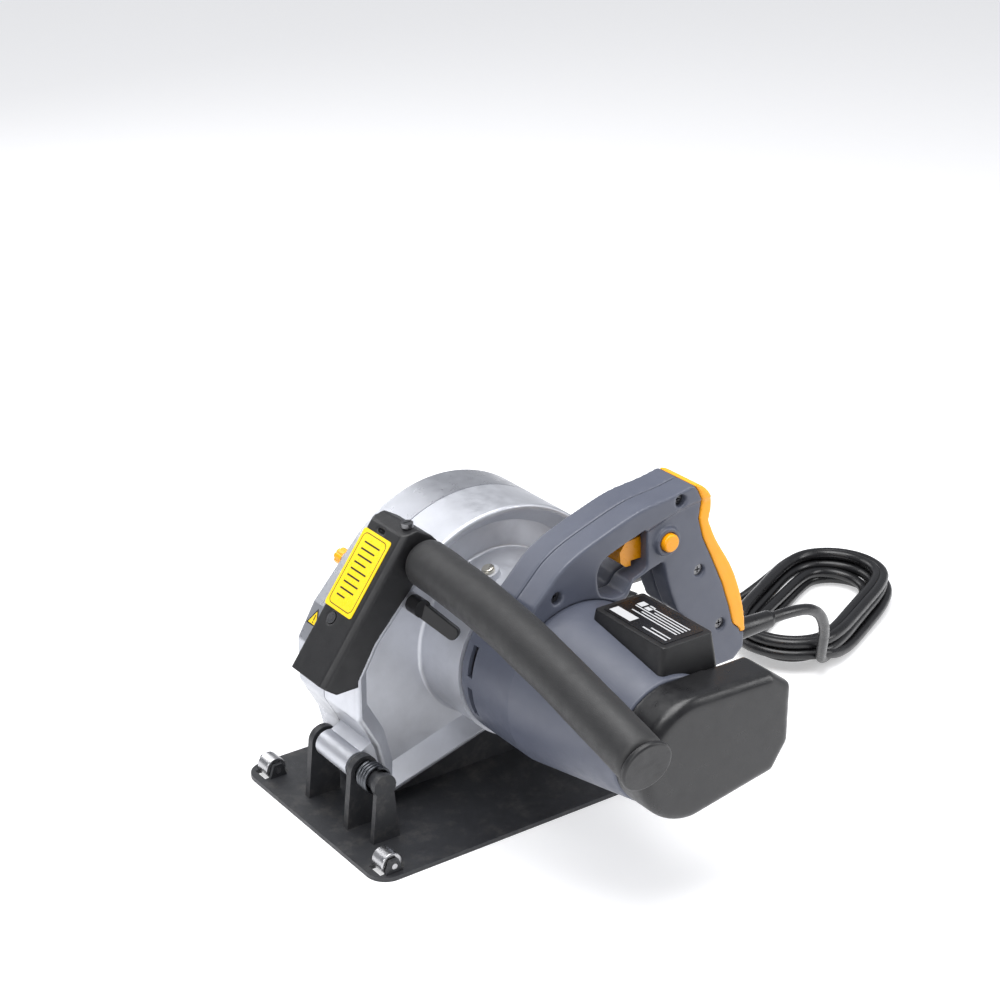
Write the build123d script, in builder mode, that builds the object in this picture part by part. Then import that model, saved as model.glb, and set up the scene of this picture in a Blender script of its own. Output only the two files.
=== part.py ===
"""Wall chaser: transverse motor, twin diamond discs in a cast guard, D handle and front bar.

Frame: +X forward along the cut, +Y towards the motor's tail, +Z up. The origin lies on the underside
of the sole, straight below the motor shaft, in the plane of the guard's near rim.
"""

import os
from math import acos, cos, pi, radians, sin, tan

from build123d import *

os.makedirs("parts", exist_ok=True)

# ---- driving dimensions, mm ----
AXIS_Z = 102.0  # motor shaft above the sole
SPINDLE_Z = 78.0  # disc spindle above the sole
DISC_RADIUS = 75.0
ARBOR_RADIUS = 11.1
GUARD_RADIUS = 90.0
GUARD_WALL = 3.5
NEAR_RIM_Y = 0.0
DISH_Y = -11.0  # floor of the dished near face
SEAM_Y = -40.0  # joint between casting and cover
FAR_Y = -73.0
GEAR_HOUSING_RADIUS = 57.0
GEAR_HOUSING_END_Y = 32.0
MOTOR_RADIUS = 55.0
MOTOR_SHOULDER_Y = 82.0
TAIL_RADIUS = 41.0
TAIL_Y = 168.0
CAP_END_Y = 196.0
PIVOT_X = 112.0
PIVOT_Z = 42.0
PIN_RADIUS = 5.0
RUNNING_GAP = 0.05
SOLE_THICKNESS = 3.0
SKIRT_NEAR = (-18.0, -15.2)
SKIRT_FAR = (-68.8, -66.3)
DISC_NEAR_Y = -26.0
DISC_FAR_Y = -52.0
HANDLE_FAR_Y = 43.0
HANDLE_NEAR_Y = 80.0
HANDLE_SEAM_Y = 61.5
GEAR_MODULE = 1.2
GEAR_TEETH = 28
PINION_TEETH = 12
PRESSURE_ANGLE = radians(20)
GEAR_SPAN = (5.0, 16.0)
CLAMP_X = 71.0
CLAMP_Z = 147.0
FOAM_RADIUS = 15.5
BAR_RADIUS = 9.5
CORD_RADIUS = 4.0
SCREW_RADIUS = 1.9


# ---- helpers: everything that lies along Y is drawn in X and Z ----
def at_y(y):
    """Work plane across Y whose own x is +X and own y is +Z."""
    return Plane.XZ.offset(-y)


def rod(x, z, radius, y0, y1, mode=Mode.ADD):
    """Cylinder along Y."""
    with BuildSketch(at_y(y0)) as section:
        with Locations((x, z)):
            Circle(radius)
    extrude(section.sketch, amount=y0 - y1, mode=mode)


def prism(points, y0, y1, mode=Mode.ADD, corner=0.0):
    """Polygon in X and Z, drawn out along Y."""
    with BuildSketch(at_y(y0)) as section:
        with BuildLine():
            Polyline(*points, close=True)
        make_face()
        if corner:
            fillet(section.vertices(), corner)
    extrude(section.sketch, amount=y0 - y1, mode=mode)


def block(x0, x1, y0, y1, z0, z1, mode=Mode.ADD):
    """Box given by its limits."""
    with Locations(((x0 + x1) / 2, (y0 + y1) / 2, (z0 + z1) / 2)):
        Box(x1 - x0, y1 - y0, z1 - z0, mode=mode)


def finish_node(builder, label):
    """Label a finished piece and write it."""
    builder.part.label = label
    export_step(builder.part, f"parts/{label}.step")


def guard_face(inset=0.0):
    """Side outline of the guard: a drum whose front runs down in a slanted wall."""
    start = radians(42)
    front_top = (GUARD_RADIUS * cos(start), AXIS_Z + GUARD_RADIUS * sin(start))
    with BuildSketch() as face:
        with BuildLine():
            CenterArc((0, AXIS_Z), GUARD_RADIUS, 42, 138)
            Polyline(
                (-GUARD_RADIUS, AXIS_Z),
                (-GUARD_RADIUS, 65),
                (90, 12),
                (99, 50),
                (112, 74),
                (112, 104),
                (99, 126.5),
                front_top,
            )
        make_face()
        fillet(face.vertices().sort_by(Axis.X)[-4:], 5)
        if inset:
            offset(amount=-inset, kind=Kind.INTERSECTION, mode=Mode.REPLACE)
    return face.sketch


def guard_slab(y0, y1, inset=0.0, mode=Mode.ADD):
    """Guard outline drawn out along Y."""
    with BuildSketch(at_y(y0)) as section:
        add(guard_face(inset))
    extrude(section.sketch, amount=y0 - y1, mode=mode)


def dish_cone():
    """Sloping wall from the near rim down to the floor of the dished face."""
    with BuildSketch(at_y(DISH_Y)) as floor:
        add(guard_face(14))
    with BuildSketch(at_y(NEAR_RIM_Y)) as mouth:
        add(guard_face(3.5))
    loft([floor.sketch, mouth.sketch], mode=Mode.SUBTRACT)


def seam_groove(y0, y1):
    """Shallow groove round the guard's outside."""
    with BuildSketch(at_y(y0)) as section:
        add(guard_face())
        add(guard_face(0.5), mode=Mode.SUBTRACT)
    extrude(section.sketch, amount=y0 - y1, mode=Mode.SUBTRACT)


def open_bottom(y0, y1):
    """Mouth of the guard, through which the discs reach the wall."""
    prism([(-86.5, 72), (-86.5, 56), (86.5, 5), (87.5, 20)], y0, y1, Mode.SUBTRACT)


def polar(radius, degrees, x=0.0, z=AXIS_Z):
    """Point at an angle around an axis along Y."""
    return (x + radius * cos(radians(degrees)), z + radius * sin(radians(degrees)))


LOCK_ANGLE = radians(70)
LOCK_RADIUS = 4.2


def lock_plane(distance):
    """Plane across the spindle lock's own axis, which points away from the motor shaft."""
    outward = Vector(cos(LOCK_ANGLE), 0, sin(LOCK_ANGLE))
    return Plane(origin=Vector(0, 14, AXIS_Z) + outward * distance, z_dir=outward)


COVER_SCREW_POINTS = [polar(80.5, 145), polar(80.5, 95), polar(80.5, 55), (104.6, 88)]
CASE_SCREW_POINTS = [polar(48.5, angle) for angle in (45, 135, 225, 315)]
HANDLE_SCREW_POINTS = [(16, 164.5), (-80, 205), (-99, 151), (-119, 107)]


# ---- guard ----
with BuildPart() as gear_case:
    guard_slab(SEAM_Y, NEAR_RIM_Y)
    rim = gear_case.faces().sort_by(Axis.Y)[-1].edges()
    fillet(rim, 2.5)
    seam_groove(SEAM_Y, SEAM_Y + 0.4)
    dish_cone()
    guard_slab(SEAM_Y, DISH_Y - GUARD_WALL, inset=GUARD_WALL, mode=Mode.SUBTRACT)
    open_bottom(SEAM_Y, DISH_Y - GUARD_WALL)
    rod(0, AXIS_Z, GEAR_HOUSING_RADIUS, DISH_Y - 1, GEAR_HOUSING_END_Y)
    root_edges = (
        gear_case.edges()
        .filter_by(GeomType.CIRCLE)
        .filter_by(lambda e: abs(e.radius - GEAR_HOUSING_RADIUS) < 0.01)
        .sort_by(Axis.Y)
    )
    fillet(root_edges[0], 2.5)
    rod(0, AXIS_Z, GEAR_HOUSING_RADIUS - 4, DISH_Y + 3, GEAR_HOUSING_END_Y, Mode.SUBTRACT)
    rod(0, SPINDLE_Z, 20, DISH_Y, 0)
    rod(0, SPINDLE_Z, 16, -10, 0, Mode.SUBTRACT)
    rod(0, SPINDLE_Z, 12, DISH_Y - GUARD_WALL, -10, Mode.SUBTRACT)
    for x, z in CASE_SCREW_POINTS:
        rod(x, z, 5, DISH_Y + 2, 25)
        rod(x, z, 2.15, 8, 25, Mode.SUBTRACT)
    for x, z in COVER_SCREW_POINTS:
        rod(x, z, 5, SEAM_Y, DISH_Y - 1)
        rod(x, z, 2.1, SEAM_Y, -20, Mode.SUBTRACT)
    # boss and bore of the spindle lock
    with BuildSketch(lock_plane(50)) as lock_boss:
        Circle(6.8)
    extrude(lock_boss.sketch, amount=11)
    with BuildSketch(lock_plane(40)) as lock_bore:
        Circle(LOCK_RADIUS + RUNNING_GAP)
    extrude(lock_bore.sketch, amount=30, mode=Mode.SUBTRACT)
    # pivot barrel and its web
    prism([(94, 34), (106, 34), (110, 50), (99, 56)], -38, -2)
    rod(PIVOT_X, PIVOT_Z, 9, -38, -2)
    rod(PIVOT_X, PIVOT_Z, PIN_RADIUS + RUNNING_GAP, -38, -2, Mode.SUBTRACT)
    # clamp bolt boss, and the casting's half of the dust outlet
    rod(CLAMP_X, CLAMP_Z, 6.2, SEAM_Y, NEAR_RIM_Y)
    rod(CLAMP_X, CLAMP_Z, 3.1, SEAM_Y, NEAR_RIM_Y, Mode.SUBTRACT)
    with Locations(Location((-90, SEAM_Y, 106), (0, 90, 0))):
        Cylinder(15.5, 30, mode=Mode.SUBTRACT)
finish_node(gear_case, "gear_case")

with BuildPart() as spindle_lock:
    with BuildSketch(lock_plane(46)):
        Circle(LOCK_RADIUS)
    extrude(amount=18)
    fillet(spindle_lock.edges().filter_by(GeomType.CIRCLE).sort_by(Axis.Z)[-1], 1.2)
finish_node(spindle_lock, "spindle_lock")

with BuildPart() as guard_cover:
    guard_slab(FAR_Y, SEAM_Y)
    fillet(guard_cover.faces().sort_by(Axis.Y)[0].edges(), 3)
    seam_groove(SEAM_Y - 0.4, SEAM_Y)
    guard_slab(FAR_Y + GUARD_WALL, SEAM_Y, inset=GUARD_WALL, mode=Mode.SUBTRACT)
    open_bottom(FAR_Y + GUARD_WALL, SEAM_Y)
    for x, z in COVER_SCREW_POINTS:
        rod(x, z, 5, FAR_Y + 1, SEAM_Y)
        rod(x, z, 2.3, FAR_Y, SEAM_Y, Mode.SUBTRACT)
        rod(x, z, 4.2, FAR_Y, FAR_Y + 3.5, Mode.SUBTRACT)
    rod(CLAMP_X, CLAMP_Z, 6.2, FAR_Y, SEAM_Y)
    rod(CLAMP_X, CLAMP_Z, 3.1, FAR_Y, SEAM_Y, Mode.SUBTRACT)
    rod(0, SPINDLE_Z, 24, FAR_Y - 1.5, FAR_Y + 2)
    rod(0, SPINDLE_Z, 20, FAR_Y - 2, FAR_Y + 1, Mode.SUBTRACT)
    with Locations(Location((-90, SEAM_Y, 106), (0, 90, 0))):
        Cylinder(15.5, 30, mode=Mode.SUBTRACT)
finish_node(guard_cover, "guard_cover")

with BuildPart() as cover_screws:
    for x, z in COVER_SCREW_POINTS:
        rod(x, z, 4, FAR_Y + 0.5, FAR_Y + 3.4)
        rod(x, z, 2, FAR_Y + 3.4, -24)
        with BuildSketch(at_y(FAR_Y + 0.5)) as socket:
            with Locations((x, z)):
                RegularPolygon(1.8, 6)
        extrude(socket.sketch, amount=-1.8, mode=Mode.SUBTRACT)
finish_node(cover_screws, "cover_screws")

# ---- dust outlet: a flange that follows the drum, and a spigot ----
with BuildPart() as dust_port:
    with Locations(Location((-112, SEAM_Y, 106), (0, 90, 0))):
        Cylinder(19, 56)
    block(-98, -84, SEAM_Y - 24, SEAM_Y + 24, 82, 130)
    guard_slab(FAR_Y, NEAR_RIM_Y, mode=Mode.SUBTRACT)
    with Locations(Location((-112, SEAM_Y, 106), (0, 90, 0))):
        Cylinder(15.5, 70, mode=Mode.SUBTRACT)
    fillet(dust_port.edges().filter_by(GeomType.CIRCLE).sort_by(Axis.X)[0], 1)
finish_node(dust_port, "dust_port")

# ---- shoe ----
ROLLER_RADIUS = 7.5
ROLLER_Z = 7.6
ROLLER_HALF = 6.0
ROLLER_POINTS = {
    "roller_front_far": (128, -85),
    "roller_front_near": (128, 56),
    "roller_rear_far": (-90, -85),
    "roller_rear_near": (-90, 56),
}
with BuildPart() as shoe:
    with BuildSketch():
        with Locations((16, -15)):
            RectangleRounded(252, 168, 14)
        with Locations((0, -42)):
            Rectangle(172, 46, mode=Mode.SUBTRACT)
        for x, y in ROLLER_POINTS.values():
            with Locations((x, y)):
                Rectangle(18, 13, mode=Mode.SUBTRACT)
    extrude(amount=SOLE_THICKNESS)
    skirt = [(86, 1), (86, 21), (-84, 74), (-84, 1)]
    prism(skirt, *SKIRT_NEAR)
    prism(skirt, *SKIRT_FAR)
    rod(-5, 44.5, 20, *SKIRT_NEAR, Mode.SUBTRACT)
    block(-25, 15, *SKIRT_NEAR, 44.5, 80, Mode.SUBTRACT)
    for lug_y in (1.5, -45.5):
        prism([(102, 1), (126, 1), (122, 42), (102, 42)], lug_y, lug_y + 5)
        rod(PIVOT_X, PIVOT_Z, 10, lug_y, lug_y + 5)
        rod(PIVOT_X, PIVOT_Z, PIN_RADIUS + RUNNING_GAP, lug_y, lug_y + 5, Mode.SUBTRACT)
    # post that carries the return spring
    prism([(102, 1), (122, 1), (118, 42), (106, 42)], 27, 31)
    rod(PIVOT_X, PIVOT_Z, 8, 27, 31)
    rod(PIVOT_X, PIVOT_Z, 6.5, 9.5, 27)
    for x, y in ROLLER_POINTS.values():
        for side in (-1, 1):
            inner = y + side * (ROLLER_HALF + 0.5)
            y0, y1 = sorted((inner, inner + side * 2.5))
            prism([(x - 7, 1), (x + 7, 1), (x + 3, 12), (x - 3, 12)], y0, y1)
            rod(x, ROLLER_Z, 2.05, y0, y1, Mode.SUBTRACT)
finish_node(shoe, "shoe")

for label, (x, y) in ROLLER_POINTS.items():
    with BuildPart() as roller:
        rod(x, ROLLER_Z, ROLLER_RADIUS, y - ROLLER_HALF, y + ROLLER_HALF)
        fillet(roller.edges().filter_by(GeomType.CIRCLE), 1)
        rod(x, ROLLER_Z, 2.05, y - ROLLER_HALF, y + ROLLER_HALF, Mode.SUBTRACT)
    finish_node(roller, label)

with BuildPart() as roller_pins:
    for x, y in ROLLER_POINTS.values():
        rod(x, ROLLER_Z, 2, y - 9.2, y + 9.2)
finish_node(roller_pins, "roller_pins")

with BuildPart() as pivot_pin:
    rod(PIVOT_X, PIVOT_Z, PIN_RADIUS, -49, 9)
    for groove_y in (-48, 7):
        rod(PIVOT_X, PIVOT_Z, PIN_RADIUS + 1, groove_y, groove_y + 1, Mode.SUBTRACT)
        rod(PIVOT_X, PIVOT_Z, PIN_RADIUS - 0.8, groove_y, groove_y + 1)
finish_node(pivot_pin, "pivot_pin")

with BuildPart() as pivot_circlips:
    for groove_y in (-47.9, 7.1):
        rod(PIVOT_X, PIVOT_Z, 8, groove_y, groove_y + 0.8)
        rod(PIVOT_X, PIVOT_Z, PIN_RADIUS - 0.75, groove_y, groove_y + 0.8, Mode.SUBTRACT)
        block(110.5, 113.5, groove_y, groove_y + 0.8, 32, 42, Mode.SUBTRACT)
finish_node(pivot_circlips, "pivot_circlips")

SPRING_RADIUS = 8.6
SPRING_WIRE = 1.1
SPRING_TURNS = 4
SPRING_PITCH = 2.6
with BuildPart() as return_spring:
    with BuildLine() as coil:
        Helix(
            pitch=SPRING_PITCH,
            height=SPRING_PITCH * SPRING_TURNS,
            radius=SPRING_RADIUS,
            center=(PIVOT_X, 12, PIVOT_Z),
            direction=(0, 1, 0),
        )
    with BuildSketch(Plane(origin=coil.line @ 0, z_dir=coil.line % 0)):
        Circle(SPRING_WIRE)
    sweep(is_frenet=True)
finish_node(return_spring, "return_spring")

# ---- discs and spindle ----
SEGMENTS = 12


def diamond_disc(y):
    """Steel core with separate diamond segments around it."""
    rod(0, SPINDLE_Z, DISC_RADIUS - 8, y - 0.9, y + 0.9)
    rod(0, SPINDLE_Z, DISC_RADIUS, y - 1.2, y + 1.2)
    rod(0, SPINDLE_Z, DISC_RADIUS - 9, y - 1.2, y - 0.9, Mode.SUBTRACT)
    rod(0, SPINDLE_Z, DISC_RADIUS - 9, y + 0.9, y + 1.2, Mode.SUBTRACT)
    with BuildSketch(at_y(y - 2)) as slots:
        with Locations((0, SPINDLE_Z)):
            with PolarLocations(DISC_RADIUS - 5, SEGMENTS):
                Rectangle(16, 2)
            with PolarLocations(DISC_RADIUS - 13, SEGMENTS):
                Circle(2.2)
            Circle(ARBOR_RADIUS + 0.03)
    extrude(slots.sketch, amount=-4, mode=Mode.SUBTRACT)


with BuildPart() as disc_near:
    diamond_disc(DISC_NEAR_Y)
finish_node(disc_near, "disc_near")

with BuildPart() as disc_far:
    diamond_disc(DISC_FAR_Y)
finish_node(disc_far, "disc_far")

with BuildPart() as spindle:
    rod(0, SPINDLE_Z, 8, 0, 19)
    rod(0, SPINDLE_Z, 5, 19, 27.5)
    rod(0, SPINDLE_Z, 7.46, -10, 0)
    rod(0, SPINDLE_Z, 11, -19, -10)
    rod(0, SPINDLE_Z, 19, -25.1, -19)
    rod(0, SPINDLE_Z, ARBOR_RADIUS, -53.5, -25.1)
    rod(0, SPINDLE_Z, 7, -65, -53.5)
finish_node(spindle, "spindle")

with BuildPart() as disc_spacers:
    first = DISC_FAR_Y + 0.95
    span = (DISC_NEAR_Y - 0.95 - first) / 4
    for number in range(4):
        y0 = first + number * span
        rod(0, SPINDLE_Z, 18, y0, y0 + span - 0.05)
    rod(0, SPINDLE_Z, ARBOR_RADIUS + 0.03, first - 1, DISC_NEAR_Y, Mode.SUBTRACT)
finish_node(disc_spacers, "disc_spacers")

with BuildPart() as outer_flange:
    rod(0, SPINDLE_Z, 19, -57.5, DISC_FAR_Y - 0.95)
    rod(0, SPINDLE_Z, ARBOR_RADIUS + 0.03, -53.55, DISC_FAR_Y, Mode.SUBTRACT)
    rod(0, SPINDLE_Z, 7.03, -58, -53, Mode.SUBTRACT)
finish_node(outer_flange, "outer_flange")

with BuildPart() as spindle_nut:
    with BuildSketch(at_y(-64.5)):
        with Locations((0, SPINDLE_Z)):
            RegularPolygon(13, 6)
            Circle(7.03, mode=Mode.SUBTRACT)
    extrude(amount=-6.9)
finish_node(spindle_nut, "spindle_nut")


def involute(angle):
    """Involute function of a pressure angle."""
    return tan(angle) - angle


def gear_teeth(teeth, x, z, turn, y0, y1):
    """Spur gear with involute flanks and shortened tips."""
    pitch_radius = GEAR_MODULE * teeth / 2
    base_radius = pitch_radius * cos(PRESSURE_ANGLE)
    tip_radius = pitch_radius + 0.75 * GEAR_MODULE
    root_radius = pitch_radius - 1.25 * GEAR_MODULE
    half_tooth = pi / 2 / teeth - 0.16 / pitch_radius
    flank = []
    for step in range(4):
        radius = max(base_radius, root_radius) + step / 3 * (
            tip_radius - max(base_radius, root_radius)
        )
        ratio = min(1.0, base_radius / radius)
        flank.append((radius, half_tooth + involute(PRESSURE_ANGLE) - involute(acos(ratio))))
    points = []
    for number in range(teeth):
        middle = turn + 2 * pi * number / teeth
        right = [(root_radius, flank[0][1])] + flank
        for radius, half in right:
            points.append(polar(radius, (middle - half) * 180 / pi, x, z))
        for radius, half in reversed(right):
            points.append(polar(radius, (middle + half) * 180 / pi, x, z))
    prism(points, y0, y1)


with BuildPart() as spindle_gear:
    gear_teeth(GEAR_TEETH, 0, SPINDLE_Z, pi / 2, *GEAR_SPAN)
    rod(0, SPINDLE_Z, 8.02, *GEAR_SPAN, Mode.SUBTRACT)
finish_node(spindle_gear, "spindle_gear")

with BuildPart() as motor_pinion:
    gear_teeth(PINION_TEETH, 0, AXIS_Z, -pi / 2 + pi / PINION_TEETH, *GEAR_SPAN)
    rod(0, AXIS_Z, 4.02, *GEAR_SPAN, Mode.SUBTRACT)
finish_node(motor_pinion, "motor_pinion")


def bearing(x, z, inner, outer, y0, y1):
    """Ball bearing drawn as one ring with the gap between its races as a groove."""
    middle = (inner + outer) / 2
    with BuildSketch(at_y(y0)) as ring:
        with Locations((x, z)):
            Circle(outer)
            Circle(inner, mode=Mode.SUBTRACT)
    extrude(ring.sketch, amount=y0 - y1)
    for face_y, depth in ((y0, -1.0), (y1, 1.0)):
        with BuildSketch(at_y(face_y)) as groove:
            with Locations((x, z)):
                Circle(middle + 1.6)
                Circle(middle - 1.6, mode=Mode.SUBTRACT)
        extrude(groove.sketch, amount=depth, mode=Mode.SUBTRACT)


with BuildPart() as spindle_bearings:
    bearing(0, SPINDLE_Z, 7.5, 15.95, -9.9, -0.3)
    bearing(0, SPINDLE_Z, 5.04, 10.95, 21, 27)
finish_node(spindle_bearings, "spindle_bearings")

with BuildPart() as armature_bearings:
    bearing(0, AXIS_Z, 5.04, 10.95, 29, 37)
    bearing(0, AXIS_Z, 4.04, 10.95, 160, 165.9)
finish_node(armature_bearings, "armature_bearings")

with BuildPart() as bearing_plate:
    rod(0, AXIS_Z, GEAR_HOUSING_RADIUS - 4.1, 26, GEAR_HOUSING_END_Y)
    rod(0, SPINDLE_Z, 13, 20.5, 28)
    rod(0, AXIS_Z, 14, 26, 39)
    rod(0, SPINDLE_Z, 11, 20.5, 27.5, Mode.SUBTRACT)
    rod(0, AXIS_Z, 11, 28.5, 39, Mode.SUBTRACT)
    rod(0, AXIS_Z, 8, 26, 39, Mode.SUBTRACT)
    for x, z in CASE_SCREW_POINTS:
        rod(x, z, 2.15, 26, GEAR_HOUSING_END_Y, Mode.SUBTRACT)
finish_node(bearing_plate, "bearing_plate")

with BuildPart() as case_screws:
    for x, z in CASE_SCREW_POINTS:
        rod(x, z, 2, 10, GEAR_HOUSING_END_Y + 0.2)
        rod(x, z, 3.5, GEAR_HOUSING_END_Y + 0.2, GEAR_HOUSING_END_Y + 3)
finish_node(case_screws, "case_screws")

# ---- motor ----
with BuildPart() as motor_shaft:
    rod(0, AXIS_Z, 4, GEAR_SPAN[0], 22)
    rod(0, AXIS_Z, 5, 22, 60)
    rod(0, AXIS_Z, 6, 60, 158)
    rod(0, AXIS_Z, 4, 158, 172)
finish_node(motor_shaft, "motor_shaft")

FAN_BLADES = 12
with BuildPart() as cooling_fan:
    rod(0, AXIS_Z, 40, 52, 54)
    rod(0, AXIS_Z, 11, 46, 54)
    with BuildSketch(at_y(45)) as vanes:
        with Locations((0, AXIS_Z)):
            with PolarLocations(26, FAN_BLADES):
                Rectangle(26, 1.6)
    extrude(vanes.sketch, amount=-7.5)
    rod(0, AXIS_Z, 5.03, 45, 55, Mode.SUBTRACT)
finish_node(cooling_fan, "cooling_fan")

ARMATURE_SLOTS = 12
with BuildPart() as armature_core:
    with BuildSketch(at_y(76)):
        with Locations((0, AXIS_Z)):
            Circle(24)
            Circle(6.03, mode=Mode.SUBTRACT)
            with PolarLocations(20.5, ARMATURE_SLOTS):
                Rectangle(9, 3, mode=Mode.SUBTRACT)
    extrude(amount=-48)
finish_node(armature_core, "armature_core")

with BuildPart() as armature_windings:
    for y0, y1 in ((66, 75.8), (124.2, 133)):
        rod(0, AXIS_Z, 21, y0, y1)
        rod(0, AXIS_Z, 6.1, y0, y1, Mode.SUBTRACT)
    fillet(armature_windings.edges().filter_by(GeomType.CIRCLE).group_by(SortBy.RADIUS)[-1], 3)
finish_node(armature_windings, "armature_windings")

COMMUTATOR_BARS = 24
with BuildPart() as commutator:
    with BuildSketch(at_y(137)):
        with Locations((0, AXIS_Z)):
            Circle(14)
            Circle(6.03, mode=Mode.SUBTRACT)
            with PolarLocations(13.8, COMMUTATOR_BARS):
                Rectangle(1.6, 0.6, mode=Mode.SUBTRACT)
    extrude(amount=-18)
finish_node(commutator, "commutator")

with BuildPart() as field_core:
    with BuildSketch(at_y(78)):
        with Locations((0, AXIS_Z)):
            Circle(42)
            Circle(25, mode=Mode.SUBTRACT)
            with PolarLocations(31, 2, start_angle=0):
                Rectangle(9, 34, mode=Mode.SUBTRACT)
    extrude(amount=-44)
finish_node(field_core, "field_core")

with BuildPart() as field_coils:
    for y0, y1 in ((67, 77.8), (122.2, 132)):
        with BuildSketch(at_y(y0)) as ends:
            with Locations((0, AXIS_Z)):
                Circle(37)
                Circle(26.5, mode=Mode.SUBTRACT)
                Rectangle(80, 16, mode=Mode.SUBTRACT)
        extrude(ends.sketch, amount=y0 - y1)
finish_node(field_coils, "field_coils")

with BuildPart() as brush_holders:
    for side in (-1, 1):
        x0, x1 = sorted((side * 16, side * 36))
        block(x0, x1, 140, 152, AXIS_Z - 6, AXIS_Z + 6)
        block(x0, x1, 142, 150, AXIS_Z - 4, AXIS_Z + 4, Mode.SUBTRACT)
finish_node(brush_holders, "brush_holders")

with BuildPart() as carbon_brushes:
    for side in (-1, 1):
        x0, x1 = sorted((side * 14.2, side * 30))
        block(x0, x1, 142.1, 149.9, AXIS_Z - 3.9, AXIS_Z + 3.9)
finish_node(carbon_brushes, "carbon_brushes")

VENT_SLOTS = 12
with BuildPart() as motor_housing:
    with BuildSketch(Plane.YZ):
        with BuildLine():
            Polyline(
                (GEAR_HOUSING_END_Y, AXIS_Z),
                (GEAR_HOUSING_END_Y, AXIS_Z + MOTOR_RADIUS),
                (MOTOR_SHOULDER_Y, AXIS_Z + MOTOR_RADIUS),
                (TAIL_Y, AXIS_Z + TAIL_RADIUS),
                (TAIL_Y, AXIS_Z),
                close=True,
            )
        make_face()
    revolve(axis=Axis((0, 0, AXIS_Z), (0, 1, 0)))
    edges_by_y = motor_housing.edges().filter_by(GeomType.CIRCLE).sort_by(Axis.Y)
    fillet(edges_by_y[0], 1.5)
    fillet(motor_housing.edges().filter_by(GeomType.CIRCLE).sort_by(Axis.Y)[-1], 2)
    with BuildSketch(Plane.YZ) as bore:
        with BuildLine():
            Polyline(
                (GEAR_HOUSING_END_Y, AXIS_Z),
                (GEAR_HOUSING_END_Y, AXIS_Z + MOTOR_RADIUS - 3),
                (MOTOR_SHOULDER_Y - 6, AXIS_Z + MOTOR_RADIUS - 3),
                (MOTOR_SHOULDER_Y, AXIS_Z + 42.1),
                (124, AXIS_Z + 42.1),
                (TAIL_Y - 5, AXIS_Z + TAIL_RADIUS - 3),
                (TAIL_Y - 5, AXIS_Z),
                close=True,
            )
        make_face()
    revolve(axis=Axis((0, 0, AXIS_Z), (0, 1, 0)), mode=Mode.SUBTRACT)
    rod(0, AXIS_Z, 14, 161, TAIL_Y)
    rod(0, AXIS_Z, 11, 160, TAIL_Y - 2, Mode.SUBTRACT)
    rod(0, AXIS_Z, 6, 160, TAIL_Y, Mode.SUBTRACT)
    with BuildSketch(at_y(39)) as vents:
        for number in range(VENT_SLOTS):
            middle = 360 / VENT_SLOTS * number + 15
            if 40 < middle % 360 < 140:
                continue
            with BuildLine():
                inner = CenterArc((0, AXIS_Z), 48, middle - 11, 22)
                outer = CenterArc((0, AXIS_Z), 60, middle - 11, 22)
                Line(inner @ 0, outer @ 0)
                Line(inner @ 1, outer @ 1)
            make_face()
    extrude(vents.sketch, amount=-5, mode=Mode.SUBTRACT)
finish_node(motor_housing, "motor_housing")

with BuildPart() as end_cap:
    with BuildSketch(at_y(TAIL_Y)):
        with BuildLine():
            top = AXIS_Z + 40.5
            bottom = AXIS_Z - 40.5
            ThreePointArc((0, bottom), (40.5, AXIS_Z), (0, top))
            Polyline((0, top), (-58, top - 2), (-74, top - 14), (-74, 90), (-62, 72), (0, bottom))
        make_face()
    extrude(amount=TAIL_Y - CAP_END_Y)
    fillet(end_cap.faces().sort_by(Axis.Y)[-1].edges(), 7)
    rod(0, AXIS_Z, 36, TAIL_Y, CAP_END_Y - 4, Mode.SUBTRACT)
finish_node(end_cap, "end_cap")

# ---- electronics box, drafted, standing on the motor housing ----
BOX_TOP_Z = 161.0
with BuildPart() as electronics_box:
    with BuildSketch(Plane.XY.offset(BOX_TOP_Z)):
        with Locations((-18, 130)):
            RectangleRounded(38, 66, 2.5)
    with BuildSketch(Plane.XY.offset(BOX_TOP_Z - 29)):
        with Locations((-18, 130)):
            RectangleRounded(48, 72, 5)
    loft()
    fillet(electronics_box.faces().sort_by(Axis.Z)[-1].edges(), 1)
    with BuildSketch(Plane.YZ) as tail_cone:
        with BuildLine():
            Polyline(
                (GEAR_HOUSING_END_Y, AXIS_Z),
                (GEAR_HOUSING_END_Y, AXIS_Z + MOTOR_RADIUS),
                (MOTOR_SHOULDER_Y, AXIS_Z + MOTOR_RADIUS),
                (TAIL_Y, AXIS_Z + TAIL_RADIUS),
                (TAIL_Y, AXIS_Z),
                close=True,
            )
        make_face()
    revolve(tail_cone.sketch, axis=Axis((0, 0, AXIS_Z), (0, 1, 0)), mode=Mode.SUBTRACT)
finish_node(electronics_box, "electronics_box")

with BuildPart() as rating_plate:
    with BuildSketch(Plane.XY.offset(BOX_TOP_Z)):
        with Locations((-18, 130)):
            RectangleRounded(31, 58, 1.5)
    extrude(amount=0.4)
finish_node(rating_plate, "rating_plate")

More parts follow.
